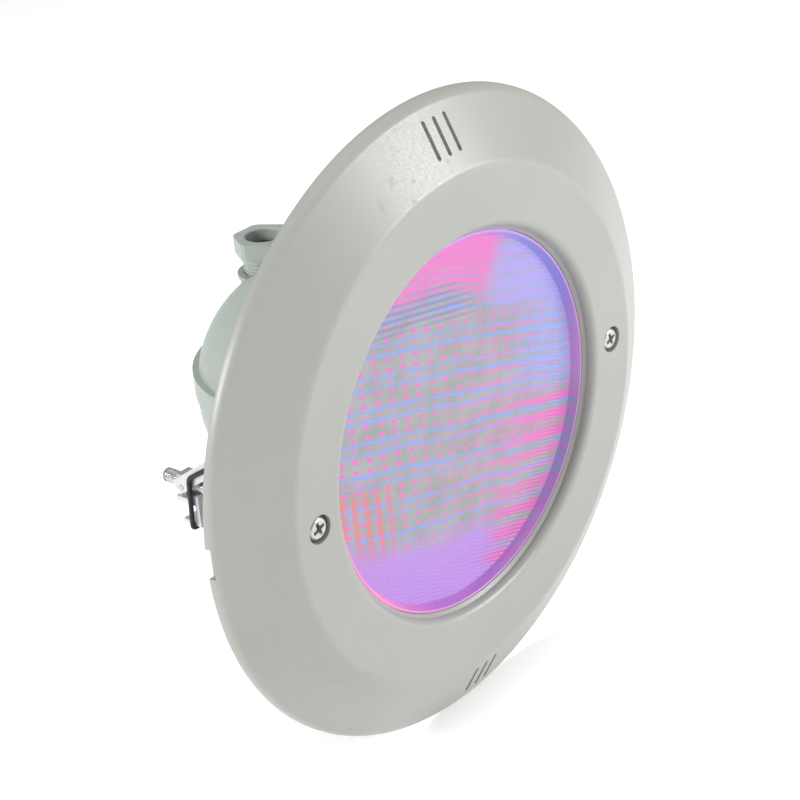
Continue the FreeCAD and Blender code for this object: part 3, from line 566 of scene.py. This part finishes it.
def softened(points):
    """A closed path with its corners cut back three times."""
    for _ in range(3):
        smoother = []
        for index, point in enumerate(points):
            following = points[(index + 1) % len(points)]
            smoother += [point.lerp(following, 0.25), point.lerp(following, 0.75)]
        points = smoother
    return points


def stepped(points, longest):
    """The closed path with no run longer than that."""
    out = []
    for index, point in enumerate(points):
        following = points[(index + 1) % len(points)]
        pieces = max(1, math.ceil((following - point).length / longest))
        out += [point.lerp(following, step / pieces) for step in range(pieces)]
    return out


for side, x in SIDES:
    low, bend, tip = (46.0, -17.1), on_wing(9.13, 1.55), on_wing(25.3, 0.9)
    path = []
    for across, route in ((-BAND_REACH, (low, bend, tip)), (BAND_REACH, (tip, bend, low))):
        for y, z in route:
            path.append(Vector((x + across, y, z)))
    corners, faces = tube(softened(stepped(path, 5.0)), BAND_RADIUS)
    knots = []
    for across in (-BAND_REACH, BAND_REACH):
        centre = Vector((x + across, 45.4, -1.2))
        loop = [centre + Vector((0.28 * math.cos(a) + 0.1, 1.15 * math.cos(a), 1.15 * math.sin(a)))
                for a in (2 * math.pi * k / 18 for k in range(18))]
        knots.append(tube(loop, 0.62, 10))
    band = piece(f"band_{side}", *joined((corners, faces), *knots), "black_rubber", None,
                 [f"claw_band_{side}"], sharp=80.0)
    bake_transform(band)


# ---------------------------------------------------------------- studio

floor_mesh = bpy.data.meshes.new("floor")
floor_half_m = 6.0
floor_z_m = cad_bounds[0][2] - 0.0004
floor_mesh.from_pydata([(x * floor_half_m, y * floor_half_m, floor_z_m)
                        for x, y in ((-1, -1), (1, -1), (1, 1), (-1, 1))], [], [(0, 1, 2, 3)])
floor_mesh.materials.append(surface("pale_floor", (248, 248, 248), 0.7, grain=60.0, depth=0.02,
                                    drift=0.01, marks=0.0))
floor = bpy.data.objects.new("floor", floor_mesh)
bpy.context.scene.collection.objects.link(floor)
floor_shader = floor_mesh.materials[0].node_tree.nodes["Principled BSDF"]
floor_shader.inputs["Emission Color"].default_value = (1.0, 1.0, 1.0, 1.0)
floor_shader.inputs["Emission Strength"].default_value = 0.22

scene = bpy.context.scene
scene.view_settings.view_transform = "Standard"
world = bpy.data.worlds.new("studio")
world.use_nodes = True
world.node_tree.nodes["Background"].inputs["Color"].default_value = (1.0, 1.0, 1.0, 1.0)
world.node_tree.nodes["Background"].inputs["Strength"].default_value = 0.50
scene.world = world


def soft_light(name, place, width, power):
    """A square lamp, in metres and watts, that faces the object."""
    light = bpy.data.lights.new(name, "AREA")
    light.shape = "SQUARE"
    light.size = width
    light.energy = power
    lamp = bpy.data.objects.new(name, light)
    lamp.location = place
    lamp.rotation_euler = (-Vector(place)).to_track_quat("-Z", "Y").to_euler()
    scene.collection.objects.link(lamp)


soft_light("overhead", (0.1, 0.1, 1.7), 1.8, 11.0)
soft_light("front_right", (1.1, -1.35, 0.55), 0.7, 27.0)
soft_light("left_edge", (-1.3, 0.35, 0.6), 0.4, 15.0)

# The camera looks at the frame's origin, with its picture shifted off the axis.
camera_distance_m = 0.8474
turned, raised, rolled = math.radians(-49.2), math.radians(27.2), math.radians(-4.49)
back = Vector((math.sin(turned) * math.cos(raised), -math.cos(turned) * math.cos(raised),
               math.sin(raised)))
level = Vector((0, 0, 1)).cross(back).normalized()
upward = back.cross(level)
right_axis = level * math.cos(rolled) + upward * math.sin(rolled)
up_axis = upward * math.cos(rolled) - level * math.sin(rolled)
camera_data = bpy.data.cameras.new("camera")
camera_data.sensor_width = 36.0
camera_data.lens = 90.855
camera_data.shift_x = -0.05125
camera_data.shift_y = 0.01975
camera = bpy.data.objects.new("camera", camera_data)
stand = back * camera_distance_m
camera.matrix_world = Matrix((
    (right_axis.x, up_axis.x, back.x, stand.x), (right_axis.y, up_axis.y, back.y, stand.y),
    (right_axis.z, up_axis.z, back.z, stand.z), (0.0, 0.0, 0.0, 1.0)))
scene.collection.objects.link(camera)
scene.camera = camera
